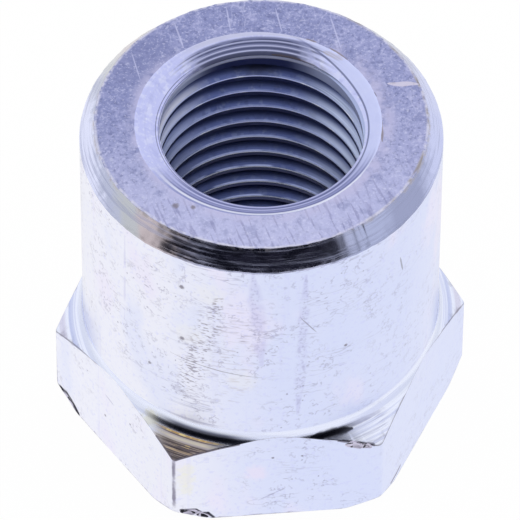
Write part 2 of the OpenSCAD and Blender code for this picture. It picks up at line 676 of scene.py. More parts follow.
def turning_lines():
    """Rings that a lathe tool left, by their distance from the axis."""
    inputs = {"Vector": "vector", "Along": "value", "Across": "value"}
    w, given, result = new_effect("turning_lines", inputs, "Value")
    axes = w.split(given["Vector"])
    radius = w.vector("LENGTH", w.joined(axes[0], axes[1], 0.0))
    place = w.scaled(given["Vector"], given["Along"])
    ring = w.math("MULTIPLY", radius, given["Across"])
    settings = {"Vector": place, "W": ring, "Scale": 1.0, "Detail": 3.0}
    noise = w.add("ShaderNodeTexNoise", settings, noise_dimensions="4D")
    w.tree.links.new(noise.outputs[0], result)
    return w.tree


def handling_marks():
    """Scattered short dashes: cells of a turned and stretched pattern, of which a share hold a mark."""
    inputs = {"Vector": "vector", "Turn": "vector", "Stretch": "vector", "Size": "value", "Share": "value"}
    w, given, result = new_effect("handling_marks", inputs, "Mask")
    turn = {"Vector": given["Vector"], "Rotation": given["Turn"]}
    turned = w.add("ShaderNodeVectorRotate", turn, rotation_type="EULER_XYZ")
    place = w.vector("MULTIPLY", turned.outputs[0], given["Stretch"])
    wobble = w.add("ShaderNodeTexNoise", {"Vector": place, "Scale": 0.8, "Detail": 1.0}).outputs["Color"]
    bent = w.vector("ADD", place, w.scaled(wobble, 0.7))
    cells = w.add("ShaderNodeTexVoronoi", {"Vector": bent, "Scale": 1.0}, feature="F1")
    chance = w.split(cells.outputs["Color"])[0]
    chosen = w.math("LESS_THAN", chance, given["Share"])
    near = w.ramp(cells.outputs["Distance"], given["Size"], w.math("MULTIPLY", given["Size"], 0.4))
    w.tree.links.new(w.math("MULTIPLY", near, chosen), result)
    return w.tree


def soft_spot():
    """A stain with a ragged outline round a point."""
    inputs = {"Vector": "vector", "Centre": "vector", "Radius": "value", "Ragged": "value"}
    w, given, result = new_effect("soft_spot", inputs, "Mask")
    away = w.vector("DISTANCE", given["Vector"], given["Centre"])
    place = w.scaled(given["Vector"], w.math("DIVIDE", 2.5, given["Radius"]))
    rough = w.math("MULTIPLY", w.math("SUBTRACT", w.noise(place, 1.0, 3.0), 0.5), given["Ragged"])
    edge = w.math("ADD", w.math("DIVIDE", away, given["Radius"]), rough)
    w.tree.links.new(w.ramp(edge, 1.0, 0.35), result)
    return w.tree


def scratch():
    """A stroke between two points; its taper says how far it thins towards its ends."""
    inputs = {"Vector": "vector", "Start": "vector", "End": "vector", "Width": "value", "Taper": "value"}
    w, given, result = new_effect("scratch", inputs, "Mask")
    path = w.vector("SUBTRACT", given["End"], given["Start"])
    reach = w.vector("SUBTRACT", given["Vector"], given["Start"])
    share = w.math("DIVIDE", w.vector("DOT_PRODUCT", reach, path), w.vector("DOT_PRODUCT", path, path))
    along = w.math("MINIMUM", w.math("MAXIMUM", share, 0.0), 1.0)
    nearest = w.scaled(path, along)
    wobble = w.noise(w.scaled(given["Vector"], 2500.0), 1.0, 2.0)
    away = w.vector("DISTANCE", reach, nearest)
    thinned = w.ramp(w.math("ABSOLUTE", w.math("SUBTRACT", along, 0.5)), 0.2, 0.55, 0.0, 0.75)
    lost = w.math("MULTIPLY", thinned, given["Taper"])
    width = w.math("MULTIPLY", given["Width"], w.math("SUBTRACT", 1.0, lost))
    bent = w.math("ADD", w.math("DIVIDE", away, width), w.math("MULTIPLY", wobble, 0.6))
    w.tree.links.new(w.ramp(bent, 1.3, 0.6), result)
    return w.tree


def unrolled():
    """The collar's wall laid flat: distance round from the front, height, and distance off the wall."""
    w, given, result = new_effect("unrolled", {"Vector": "vector"}, "Unrolled", "vector")
    axes = w.split(given["Vector"])
    angle = w.math("ARCTAN2", axes[0], w.math("MULTIPLY", axes[1], -1.0))
    radius = w.vector("LENGTH", w.joined(axes[0], axes[1], 0.0))
    flat = w.joined(w.math("MULTIPLY", angle, COLLAR_R), axes[2], w.math("SUBTRACT", radius, COLLAR_R))
    w.tree.links.new(flat, result)
    return w.tree


def edge_wear():
    """A ragged, patchy line along worn edges, from the edge wear kept on the mesh, which at the corners
    holds a painted dark reflection too.
    """
    inputs = {"Edge": "value", "Vector": "vector", "Scale": "value"}
    w, given, result = new_effect("edge_wear", inputs, "Mask")
    rough = w.math("SUBTRACT", w.noise(given["Vector"], given["Scale"], 3.0), 0.5)
    patches = w.ramp(w.noise(given["Vector"], 420.0, 1.0), 0.40, 0.60, 0.30, 1.0)
    worn = w.math("ADD", w.math("MULTIPLY", given["Edge"], patches), w.math("MULTIPLY", rough, 0.8))
    held = w.math("MULTIPLY", w.ramp(worn, 0.10, 0.60), w.ramp(given["Edge"], 0.02, 0.25))
    w.tree.links.new(held, result)
    return w.tree


def hairlines():
    """Fine curling scratches: the contour lines of a stretched noise, kept in patches."""
    inputs = {"Vector": "vector", "Stretch": "vector", "Thin": "value", "Patches": "value"}
    w, given, result = new_effect("hairlines", inputs, "Mask")
    place = w.vector("MULTIPLY", given["Vector"], given["Stretch"])
    level = w.math("ABSOLUTE", w.math("SUBTRACT", w.noise(place, 1.0, 2.0), 0.5))
    line = w.ramp(level, given["Thin"], w.math("MULTIPLY", given["Thin"], 0.3))
    patch = w.noise(w.vector("ADD", place, (7.3, 1.9, 4.1)), 0.6, 1.0)
    keep = w.ramp(patch, given["Patches"], w.math("ADD", given["Patches"], 0.08))
    w.tree.links.new(w.math("MULTIPLY", line, keep), result)
    return w.tree


effects = {make.__name__: make() for make in (
    stretched_noise, turning_lines, handling_marks, hairlines, soft_spot, scratch, unrolled, edge_wear,
)}


class Finish:
    """One surface finish: a Principled shader whose colour, roughness and relief are built in layers."""

    def __init__(self, name, colour, roughness):
        self.material = bpy.data.materials.new(name)
        self.material.use_nodes = True
        self.w = Wiring(self.material.node_tree)
        self.shader = self.material.node_tree.nodes["Principled BSDF"]
        self.metallic = 1.0
        self.place = self.w.add("ShaderNodeTexCoord").outputs["Object"]
        self.axes = self.w.split(self.place)
        self.radius = self.w.vector("LENGTH", self.w.joined(self.axes[0], self.axes[1], 0.0))
        self.colour = colour
        self.roughness = roughness
        self.height = None

    def lay(self, mask, colour, amount=1.0):
        self.colour = self.w.paint(self.colour, mask, colour, amount)

    def roughen(self, mask, by):
        self.roughness = self.w.math("ADD", self.roughness, self.w.math("MULTIPLY", mask, by))

    def raise_by(self, mask, by):
        lift = self.w.math("MULTIPLY", mask, by)
        self.height = lift if self.height is None else self.w.math("ADD", self.height, lift)

    def cloud(self, size_mm, low, high):
        """A mask of soft patches of about this size."""
        return self.w.ramp(self.w.noise(self.place, 1 / (size_mm * MM), 2.0), low, high)

    def ring(self, r_mm, half_width_mm):
        """A mask of a line round the axis."""
        away = self.w.math("ABSOLUTE", self.w.math("SUBTRACT", self.radius, r_mm * MM))
        return self.w.ramp(away, half_width_mm * MM, half_width_mm * 0.4 * MM)

    def both(self, *masks):
        """Where all the masks are."""
        shared = masks[0]
        for mask in masks[1:]:
            shared = self.w.math("MULTIPLY", shared, mask)
        return shared

    def spots(self, colour, amount, places, ragged=0.8, place=None):
        """Stains of one colour: each a point in mm and a radius in mm."""
        for centre, radius in places:
            inputs = {"Vector": place or self.place, "Centre": Vector(centre) * MM, "Radius": radius * MM}
            self.lay(self.w.effect("soft_spot", Ragged=ragged, **inputs), colour, amount)

    def scratches(self, colour, amount, strokes, kept=None, place=None):
        """Strokes of one colour: each two points and a width, in mm; kept is a mask that breaks them up."""
        for start, end, width in strokes:
            ends = {"Start": Vector(start) * MM, "End": Vector(end) * MM}
            mask = self.w.effect("scratch", Vector=place or self.place, Width=width * MM, Taper=1.0, **ends)
            self.lay(mask if kept is None else self.both(mask, kept), colour, amount)

    def line(self, colour, amount, points, width, place=None):
        """A line of one width through points in mm."""
        for start, end in zip(points, points[1:]):
            ends = {"Start": Vector(start) * MM, "End": Vector(end) * MM}
            mask = self.w.effect("scratch", Vector=place or self.place, Width=width * MM, Taper=0.0, **ends)
            self.lay(mask, colour, amount)

    def flat_line(self, colour, amount, turn, points, width):
        """A line on one of the hexagon's flats and in its chips: points along the flat and up it, in mm."""
        out, along, _ = flat_frame(turn)
        depth = self.w.math("SUBTRACT", self.w.vector("DOT_PRODUCT", self.place, out), HEX_APOTHEM)
        depth = self.w.math("MULTIPLY", depth, 0.2)
        pressed = self.w.joined(self.w.vector("DOT_PRODUCT", self.place, along), self.axes[2], depth)
        self.line(colour, amount, [(a, z, 0) for a, z in points], width, pressed)

    def done(self, relief):
        """Connects the layers; relief is the height in metres of a full step of the bump."""
        self.w.give(self.shader.inputs["Base Color"], self.colour)
        self.w.give(self.shader.inputs["Roughness"], self.roughness)
        self.w.give(self.shader.inputs["Metallic"], self.metallic)
        bump = self.w.add("ShaderNodeBump", {"Height": self.height, "Distance": relief, "Strength": 1.0})
        self.w.give(self.shader.inputs["Normal"], bump.outputs[0])
        return self.material


# Handling marks on the plated walls: turn, lines per metre, size, share of cells and strength
MARK_LAYERS = [
    ((0, 0, 0), (4200, 4200, 4200), 0.26, 0.11, 0.65),
    ((0, 0, 0), (1500, 1500, 7500), 0.24, 0.09, 0.60),
    ((0.4, 0.5, 0), (1600, 1600, 6500), 0.22, 0.08, 0.60),
]
# Curling scratches: lines per metre, thinness, patches and strength
HAIR_LAYERS = [
    ((420, 420, 1700), 0.016, 0.52, 0.35),
    ((600, 600, 3400), 0.022, 0.57, 0.32),
    ((3400, 3400, 3400), 0.060, 0.52, 0.36),
]
MARK_TONE = tone(138, 134, 164)


def plated_wall(name, crowd_low):
    """Bright zinc plate with a blue cast, faint draw lines and handling marks."""
    f = Finish(name, tone(242, 243, 255), 0.26)
    f.lay(f.w.ramp(f.axes[0], -5.5 * MM, 0.5 * MM), tone(219, 226, 255), 0.9)
    patches = f.w.effect("stretched_noise", Vector=f.place, Stretch=(330, 330, 170), Detail=3.0)
    f.lay(f.w.ramp(patches, 0.50, 0.66), tone(217, 225, 255), 0.4)
    f.lay(f.w.ramp(patches, 0.46, 0.32), tone(240, 234, 255), 0.6)
    drawn = f.w.effect("stretched_noise", Vector=f.place, Stretch=(1900, 1900, 45), Detail=2.0)
    f.lay(f.w.ramp(drawn, 0.64, 0.76), tone(206, 206, 252), 0.18)
    grain = f.w.noise(f.place, 5200.0, 3.0)
    f.lay(f.w.ramp(grain, 0.54, 0.72), tone(206, 209, 252), 0.35)
    crowd = f.cloud(2.6, crowd_low, crowd_low + 0.2)
    crowd = f.both(crowd, f.w.ramp(f.axes[0], 2.0 * MM, 5.5 * MM, 1.0, 0.5))
    for turn, stretch, size, share, strength in MARK_LAYERS:
        inputs = {"Turn": turn, "Stretch": stretch, "Size": size, "Share": share}
        mark = f.w.effect("handling_marks", Vector=f.place, **inputs)
        f.lay(f.both(mark, crowd), MARK_TONE, strength)
    for stretch, thin, kept, strength in HAIR_LAYERS:
        line = f.w.effect("hairlines", Vector=f.place, Stretch=stretch, Thin=thin, Patches=kept)
        f.lay(f.both(line, crowd), MARK_TONE, strength)
    f.roughen(grain, 0.06)
    f.raise_by(grain, 1.0)
    return f


def collar_finish():
    f = plated_wall("collar_plate", 0.36)
    flat = f.w.effect("unrolled", Vector=f.place)
    hatch = f.w.effect("stretched_noise", Vector=f.place, Stretch=(3500, 3500, 12000), Detail=1.0)
    hatch = f.w.ramp(hatch, 0.54, 0.64)
    column = f.w.effect("scratch", Vector=flat, Start=Vector((-2.6, 14.5, 0)) * MM,
                        End=Vector((-4.3, 7.3, 0)) * MM, Width=0.9 * MM, Taper=1.0)
    rubbed = f.w.math("MULTIPLY", hatch, column)
    f.lay(rubbed, tone(142, 135, 152), 0.72)
    dashes = f.w.effect("stretched_noise", Vector=f.place, Stretch=(1500, 1500, 11000), Detail=1.0)
    beside = f.w.effect("scratch", Vector=flat, Start=Vector((-1.9, 14.2, 0)) * MM,
                        End=Vector((-2.0, 7.8, 0)) * MM, Width=1.5 * MM, Taper=1.0)
    f.lay(f.both(beside, f.w.ramp(dashes, 0.58, 0.68)), tone(180, 173, 190), 0.42)
    f.spots(tone(247, 245, 236), 0.25, [
        ((-3.0, 14.6, 0), 0.9), ((-4.0, 11.6, 0), 0.9), ((-1.6, 9.2, 0), 0.9),
    ], place=flat)
    dark = tone(120, 114, 128)
    f.spots(dark, 0.8, [((-4.3, 14.6, 0), 0.17), ((-4.3, 11.2, 0), 0.16), ((-6.0, 8.5, 0), 0.11),
                        ((3.1, 10.6, 0), 0.12)], place=flat)
    f.scratches(dark, 0.6, [
        ((-4.9, 9.95, 0), (-0.7, 9.45, 0), 0.035),
        ((0.95, 13.3, 0), (1.7, 12.1, 0), 0.04),
        ((6.1, 14.3, 0), (6.3, 13.3, 0), 0.07),
    ], place=flat)
    f.scratches(tone(182, 180, 228), 0.3, [
        ((-7.4, 15.9, 0), (-7.5, 10.2, 0), 0.10),
        ((-1.1, 16.3, 0), (-0.7, 10.3, 0), 0.45),
        ((1.2, 16.0, 0), (0.9, 6.8, 0), 0.35),
    ], f.cloud(1.2, 0.30, 0.56), place=flat)
    dotted = f.w.ramp(f.w.noise(f.place, 6500.0, 3.0), 0.50, 0.62)
    f.scratches(tone(150, 147, 190), 0.32, [
        ((-1.1, 16.3, 0), (-0.8, 9.8, 0), 0.30),
        ((1.2, 15.5, 0), (0.9, 6.8, 0), 0.30),
    ], dotted, place=flat)
    low_lines = f.w.effect("stretched_noise", Vector=f.place, Stretch=(120, 120, 9000), Detail=2.0)
    above_corner = {"Centre": Vector((-3.7, -7.0, 6.0)) * MM, "Radius": 1.7 * MM, "Ragged": 0.8}
    above_corner = f.w.effect("soft_spot", Vector=f.place, **above_corner)
    f.lay(f.both(above_corner, f.w.ramp(low_lines, 0.52, 0.64)), tone(160, 164, 198), 0.45)
    return f.done(0.002 * MM)


# Painted shadow along the upper edges of two chips: which flat, the line's width, and points along the flat
# and up it, in mm
CHIP_SHADOW_LINES = [
    (-1, 0.22, [(-4.45, 0.58), (-4.26, 0.63), (-3.78, 0.68), (-3.47, 0.56), (-3.23, 0.37), (-2.95, 0.14)]),
    (0, 0.10, [(-4.29, 0.80), (-3.62, 0.76), (-3.35, 0.50), (-3.08, 0.47), (-2.84, 0.14)]),
]


# Upper edges of the flats that are worn through at the front corners: which flat, and points on it in mm
WORN_EDGES = [
    (0, [(-4.5, 4.29), (-3.6, 4.60), (-2.6, 4.88), (-1.7, 5.06)]),
    (-1, [(4.5, 4.29), (3.9, 4.50), (3.3, 4.68)]),
    (0, [(2.7, 4.84), (3.4, 4.64), (4.3, 4.36)]),
]


def flat_finish():
    f = plated_wall("flat_plate", 0.44)
    f.spots(tone(242, 241, 224), 0.45, [
        ((-4.05, -8, 3.6), 0.55), ((-4.1, -8, 2.9), 0.6), ((-4.05, -8, 2.2), 0.5),
    ], 1.4)
    f.spots(tone(246, 230, 250), 0.4, [((-0.95, -8, 3.05), 0.7)])
    f.scratches(tone(150, 150, 190), 0.6, [
        ((-0.85, -8, 1.1), (0.3, -8, 1.8), 0.03),
        ((-7.3, -3.3, 3.7), (-6.9, -4.1, 3.55), 0.05),
    ])
    f.spots(tone(110, 106, 124), 0.8, [
        ((-0.2, -8, 4.0), 0.09), ((1.1, -8, 4.0), 0.07), ((-7.3, -3.4, 2.2), 0.1), ((-6.3, -5.1, 3.5), 0.08),
    ])
    # Edge wear, with a painted dark reflection along the rounded corners
    edge = f.w.add("ShaderNodeAttribute", attribute_name="edge").outputs["Fac"]
    worn = f.w.effect("edge_wear", Edge=edge, Vector=f.place, Scale=3200.0)
    f.lay(worn, tone(132, 126, 152), 0.8)
    f.roughen(worn, 0.2)
    # Painted shadow lines under the chips' upper edges
    for turn, width, points in CHIP_SHADOW_LINES:
        f.flat_line(tone(34, 33, 54), 0.95, turn, points, width)
    for turn, points in WORN_EDGES:
        f.flat_line(tone(92, 86, 102), 0.8, turn, points, 0.07)
    f.flat_line(tone(104, 96, 126), 0.9, 1, [(-2.4, 0.46), (-2.84, 0.37), (-3.4, 0.36)], 0.09)
    return f.done(0.002 * MM)


def stain_corner(f):
    """Rings of worn plate at the front left corner: black, cream and brown, with a painted gold highlight
    line and painted glints.
    """
    wide = {"Centre": Vector((-3.4, -7.4, 5.0)) * MM, "Radius": 2.9 * MM, "Ragged": 0.2}
    near = {"Centre": Vector((-4.0, -7.5, 4.9)) * MM, "Radius": 2.0 * MM, "Ragged": 0.3}
    black = f.w.effect("soft_spot", Vector=f.place, **wide)
    stained = f.w.effect("soft_spot", Vector=f.place, **near)
    worn = f.both(stained, f.w.ramp(f.radius, 8.19 * MM, 8.25 * MM))
    f.metallic = f.w.math("SUBTRACT", 1.0, f.w.math("MULTIPLY", worn, 0.7))
    bands = f.w.effect("turning_lines", Vector=f.place, Along=160.0, Across=12000.0)
    f.lay(f.both(black, f.ring(8.08, 0.13)), tone(50, 52, 70), 0.9)
    f.lay(worn, tone(202, 190, 192), 0.9)
    f.lay(f.both(worn, f.w.ramp(bands, 0.52, 0.60)), tone(238, 230, 212), 0.8)
    f.lay(f.both(worn, f.w.ramp(bands, 0.46, 0.38)), tone(108, 90, 84), 0.7)
    # Painted gold highlight line, with painted glints along it
    f.lay(f.both(worn, f.ring(8.265, 0.04)), tone(214, 176, 112), 1.0)
    glints = f.w.ramp(f.w.noise(f.place, 2600.0, 2.0), 0.50, 0.62)
    f.lay(f.both(worn, f.ring(8.265, 0.05), glints), tone(255, 232, 168), 1.0)
    f.lay(f.both(stained, f.ring(8.325, 0.03)), tone(92, 76, 72), 0.8)
    outer = f.both(stained, f.w.ramp(f.radius, 8.50 * MM, 8.58 * MM))
    f.lay(f.both(outer, f.w.ramp(bands, 0.44, 0.54, 0.6, 1.0)), tone(84, 72, 80), 0.9)
    f.lay(f.both(outer, f.w.ramp(bands, 0.44, 0.36)), tone(238, 208, 164), 0.85)
    fine = f.w.effect("turning_lines", Vector=f.place, Along=420.0, Across=26000.0)
    f.lay(f.both(outer, f.w.ramp(fine, 0.47, 0.40)), tone(44, 36, 44), 0.75)
    f.lay(f.both(outer, f.w.ramp(fine, 0.55, 0.61)), tone(226, 208, 196), 0.7)
    # Painted glints on the outer rings
    f.lay(f.both(outer, f.w.ramp(fine, 0.55, 0.60), glints), tone(255, 226, 170), 1.0)
    f.spots(tone(212, 210, 182), 0.5, [((-5.45, -6.1, 5.05), 0.6)], 1.2)


def streak_corner(f):
    """The front right corner: a black wedge where the plate is gone, then grey streaks."""
    near = {"Centre": Vector((4.2, -7.4, 4.9)) * MM, "Radius": 1.4 * MM, "Ragged": 0.8}
    streaks = f.w.effect("soft_spot", Vector=f.place, **near)
    fine = f.w.effect("turning_lines", Vector=f.place, Along=420.0, Across=9000.0)
    f.lay(f.both(streaks, f.w.ramp(fine, 0.46, 0.60)), tone(164, 168, 202), 0.6)
    f.scratches(tone(42, 44, 60), 0.95, [((1.5, -7.95, 5.2), (3.35, -7.5, 5.05), 0.30)])
    f.scratches(tone(150, 154, 188), 0.7, [((3.1, -7.45, 5.1), (4.4, -6.85, 5.05), 0.14)])
    f.line(tone(108, 106, 122), 0.8, [(2.9, -7.97, 4.84), (3.7, -7.97, 4.63), (4.3, -7.95, 4.45)], 0.06)


def shoulder_finish():
    """The turned shoulder: fine rings, brown where the plate thins at the front left corner, with painted
    gold highlights there.
    """
    f = Finish("turned_shoulder", tone(232, 237, 255), 0.2)
    rings = f.w.effect("turning_lines", Vector=f.place, Along=150.0, Across=9000.0)
    f.lay(f.w.ramp(rings, 0.50, 0.62), tone(200, 207, 240), 0.6)
    beside = f.w.ramp(f.w.math("ABSOLUTE", f.axes[0]), 4.6 * MM, 6.6 * MM)
    f.lay(f.both(f.ring(8.08, 0.12), beside), tone(212, 218, 238), 0.6)
    f.lay(f.both(f.ring(8.50, 0.15), beside), tone(180, 190, 232), 0.6)
    f.lay(f.both(f.ring(8.90, 0.20), beside), tone(206, 204, 228), 0.7)
    stain_corner(f)
    streak_corner(f)
    for turn, points in WORN_EDGES:
        f.flat_line(tone(92, 86, 102), 0.8, turn, points, 0.07)
    # Edge wear, with a painted dark reflection where the rounded corners meet the shoulder
    edge = f.w.add("ShaderNodeAttribute", attribute_name="edge").outputs["Fac"]
    worn = f.w.effect("edge_wear", Edge=edge, Vector=f.place, Scale=3200.0)
    f.lay(worn, tone(104, 98, 114), 0.6)
    f.roughen(worn, 0.2)
    f.raise_by(rings, 1.0)
    return f.done(0.005 * MM)


# The chamfer's tones from left to right, painted reflections of its surroundings: from where to where each
# comes in, in mm, its colour and its amount
CHAMFER_TONES = [
    (-7.5, -7.0, tone(172, 178, 204), 0.8),
    (-6.9, -6.3, tone(190, 193, 196), 0.8),
    (-6.1, -5.5, tone(198, 185, 190), 0.9),
    (-4.3, -3.3, tone(190, 194, 224), 0.9),
    (1.0, 4.0, tone(172, 180, 216), 0.9),
    (4.6, 5.4, tone(152, 158, 192), 0.8),
    (6.4, 7.4, tone(204, 210, 246), 0.9),
]


def chamfer_finish():
    """The turned chamfer: rings and streaks, painted reflections from side to side, a painted dark
    reflection at the front, and faint stains on its left.
    """
    f = Finish("turned_chamfer", tone(222, 226, 252), 0.18)
    blur = f.w.math("MULTIPLY", f.w.math("SUBTRACT", f.w.noise(f.place, 2200.0, 3.0), 0.5), 0.9 * MM)
    across = f.w.math("ADD", f.axes[0], blur)
    # Painted reflections of the surroundings, from left to right
    for start_mm, end_mm, colour, amount in CHAMFER_TONES:
        f.lay(f.w.ramp(across, start_mm * MM, end_mm * MM), colour, amount)
    rings = f.w.effect("turning_lines", Vector=f.place, Along=330.0, Across=17000.0)
    f.lay(f.w.ramp(rings, 0.48, 0.60), tone(150, 156, 190), 0.45)
    # Painted dark reflection at the front, broken into streaks
    in_front = f.both(f.w.ramp(f.axes[0], -5.2 * MM, -4.4 * MM), f.w.ramp(f.axes[0], 2.8 * MM, 2.0 * MM))
    breaks = f.w.effect("stretched_noise", Vector=f.place, Stretch=(1100, 1100, 2600), Detail=2.0)
    f.lay(f.both(in_front, f.w.ramp(breaks, 0.44, 0.60)), tone(96, 100, 124), 0.75)
    clumps = f.w.ramp(f.w.noise(f.place, 700.0, 2.0), 0.36, 0.60)
    mouth = f.w.ramp(f.radius, END_FACE_R + 0.14 * MM, END_FACE_R + 0.02 * MM)
    burr = f.both(mouth, clumps, f.w.ramp(f.w.noise(f.place, 4200.0, 3.0), 0.36, 0.60))
    f.lay(burr, tone(200, 194, 198), 0.8)
    f.roughen(burr, 0.5)
    foot = f.w.ramp(f.axes[2], END_CHAMFER_Z + 0.20 * MM, END_CHAMFER_Z + 0.02 * MM)
    ragged = f.both(foot, f.w.ramp(f.w.noise(f.place, 3400.0, 3.0), 0.44, 0.60))
    f.roughen(ragged, 0.15)
    flecks = f.w.ramp(rings, 0.55, 0.64)
    f.metallic = f.w.ramp(rings, 0.50, 0.66, 1.0, 0.80)
    scuffed = f.both(f.w.ramp(f.axes[0], -5.6 * MM, -5.0 * MM), f.w.ramp(f.axes[0], -2.4 * MM, -3.8 * MM))
    scuffed = f.both(scuffed, f.w.ramp(rings, 0.40, 0.60))
    f.metallic = f.w.math("SUBTRACT", f.metallic, f.w.math("MULTIPLY", scuffed, 0.55))
    f.roughen(flecks, 0.1)
    f.raise_by(flecks, 0.5)
    f.raise_by(f.w.noise(f.place, 2200.0, 3.0), 1.6)
    return f.done(0.002 * MM)


def end_face_finish():
    """The sawn and faced end: matte, speckled, with short marks towards the front and light scratches,
    painted lighter towards the front, with a painted highlight by the rim.
    """
    f = Finish("faced_end", tone(150, 156, 202), 0.5)
    # Painted light: the end turns lighter towards the front
    f.lay(f.w.ramp(f.axes[1], 2 * MM, -6.0 * MM), tone(194, 197, 233), 1.0)
    f.lay(f.w.ramp(f.axes[0], 1 * MM, 6 * MM), tone(178, 182, 224), 0.35)
    patches = f.w.noise(f.place, 1500.0, 3.0)
    f.lay(f.w.ramp(patches, 0.52, 0.66), tone(186, 188, 228), 0.35)
    f.lay(f.w.ramp(patches, 0.48, 0.34), tone(132, 138, 184), 0.35)
    speckle = f.w.noise(f.place, 6500.0, 3.0)
    f.lay(f.w.ramp(speckle, 0.52, 0.72), tone(208, 210, 242), 0.5)
    pits = f.both(f.w.ramp(speckle, 0.48, 0.30), f.w.ramp(f.axes[1], -2 * MM, -5 * MM, 1.0, 0.35))
    f.lay(pits, tone(108, 114, 160), 0.55)
    f.spots(tone(134, 140, 186), 0.5, [((-4.67, 3.99, 17.3), 2.6)])
    dots = f.w.effect("handling_marks", Vector=f.place, Stretch=(2600, 2600, 2600), Size=0.3, Share=0.14)
    f.lay(dots, tone(220, 222, 246), 0.4)
    fine = f.w.effect("hairlines", Vector=f.place, Stretch=(900, 500, 300), Thin=0.02, Patches=0.5)
    f.lay(fine, tone(206, 208, 240), 0.35)
    across = f.w.vector("DOT_PRODUCT", f.place, (0.970, 0.242, 0))
    along = f.w.vector("DOT_PRODUCT", f.place, (-0.242, 0.970, 0))
    turned = f.w.joined(across, along, 0.0)
    sawn = f.w.effect("stretched_noise", Vector=turned, Stretch=(5600, 700, 0), Detail=1.0)
    sawn = f.both(f.w.ramp(sawn, 0.55, 0.66), f.w.ramp(f.axes[1], -1 * MM, -5 * MM))
    f.lay(sawn, tone(146, 148, 190), 0.55)
    specks = f.w.ramp(f.w.noise(f.place, 10500.0, 2.0), 0.57, 0.68)
    f.lay(specks, tone(222, 224, 250), 0.4)
    # Painted highlight: a light band round the countersink's rim, broken up and kept off the very back
    band = f.w.ramp(f.radius, COUNTERSINK_R + 0.75 * MM, COUNTERSINK_R + 0.1 * MM)
    broken = f.w.ramp(f.w.noise(f.place, 1500.0, 3.0), 0.3, 0.6)
    band = f.both(band, broken, f.w.ramp(f.axes[1], 5 * MM, 3 * MM))
    f.lay(band, tone(202, 200, 232), 0.7)
    f.scratches(tone(140, 128, 124), 0.7, [
        ((-0.8, 5.25, 17.3), (-0.5, 5.27, 17.3), 0.10),
        ((1.6, 4.95, 17.3), (2.05, 4.8, 17.3), 0.09),
        ((2.35, 4.72, 17.3), (2.85, 4.5, 17.3), 0.11),
        ((3.4, 4.1, 17.3), (4.1, 3.3, 17.3), 0.10),
        ((5.2, -0.2, 17.3), (5.12, -1.6, 17.3), 0.10),
    ])
    f.scratches(tone(86, 74, 90), 0.9, [((5.02, 1.35, 17.3), (5.1, 0.95, 17.3), 0.10)])
    f.spots(tone(136, 130, 142), 0.8, [((-4.15, -4.5, 17.3), 0.2), ((-3.4, -4.65, 17.3), 0.15)])
    f.scratches(tone(210, 212, 244), 0.6, [
        ((-3.25, 6.1, 17.3), (-3.0, 4.7, 17.3), 0.06),
        ((-0.9, 6.9, 17.3), (-0.85, 5.55, 17.3), 0.05),
        ((1.25, 6.7, 17.3), (1.4, 5.25, 17.3), 0.05),
        ((3.6, 6.05, 17.3), (3.9, 3.95, 17.3), 0.05),
        ((-5.3, 4.65, 17.3), (-5.05, 2.95, 17.3), 0.04),
    ])
    rim = f.w.ramp(f.radius, END_FACE_R - 0.14 * MM, END_FACE_R - 0.03 * MM)
    burr = f.both(rim, f.w.ramp(f.w.noise(f.place, 4200.0, 3.0), 0.30, 0.60))
    f.lay(burr, tone(226, 226, 242), 0.75)
    tan_burr = f.both(rim, f.w.ramp(f.axes[0], 3.5 * MM, 5.5 * MM))
    tan_burr = f.both(tan_burr, f.w.ramp(f.w.noise(f.place, 900.0, 4.0), 0.46, 0.60))
    f.lay(tan_burr, tone(150, 142, 140), 0.8)
    f.roughen(speckle, 0.1)
    f.raise_by(speckle, 1.0)
    f.raise_by(sawn, -0.6)
    return f.done(0.003 * MM)


# Rings at the back of the countersink, turned rings darkened by a painted dark reflection: radius and half
# width in mm
DARK_RINGS = [(5.05, 0.035), (4.92, 0.045), (4.72, 0.055), (4.50, 0.05)]
# Rings between them that stand light, with a painted highlight
LIGHT_RINGS = [(4.99, 0.025), (4.81, 0.03), (4.63, 0.03)]
# Rings at the front: radius and half width in mm, and colour; the outermost is a painted highlight at the
# rim
FRONT_RINGS = [
    (4.55, 0.05, tone(206, 211, 250)),
    (4.71, 0.08, tone(92, 98, 156)),
    (4.85, 0.05, tone(206, 211, 250)),
    (4.97, 0.05, tone(128, 134, 188)),
    (5.16, 0.06, tone(98, 104, 160)),
    (5.31, 0.11, tone(234, 238, 255)),
]
# Tool line over the cone's right side: radius in mm, the angle from which it grows, and how fast
SPIRAL_R = 4.68
SPIRAL_FROM = 0.3
SPIRAL_GROWTH = 0.72


def spiral_line(f):
    """How far a point of the cone lies outside the tool line."""
    turn = f.w.math("ARCTAN2", f.axes[1], f.axes[0])
    past = f.w.math("MAXIMUM", f.w.math("SUBTRACT", turn, SPIRAL_FROM), 0.0)
    growth = f.w.math("MULTIPLY", f.w.math("MULTIPLY", past, past), SPIRAL_GROWTH * MM)
    return f.w.math("SUBTRACT", f.radius, f.w.math("ADD", growth, SPIRAL_R * MM))


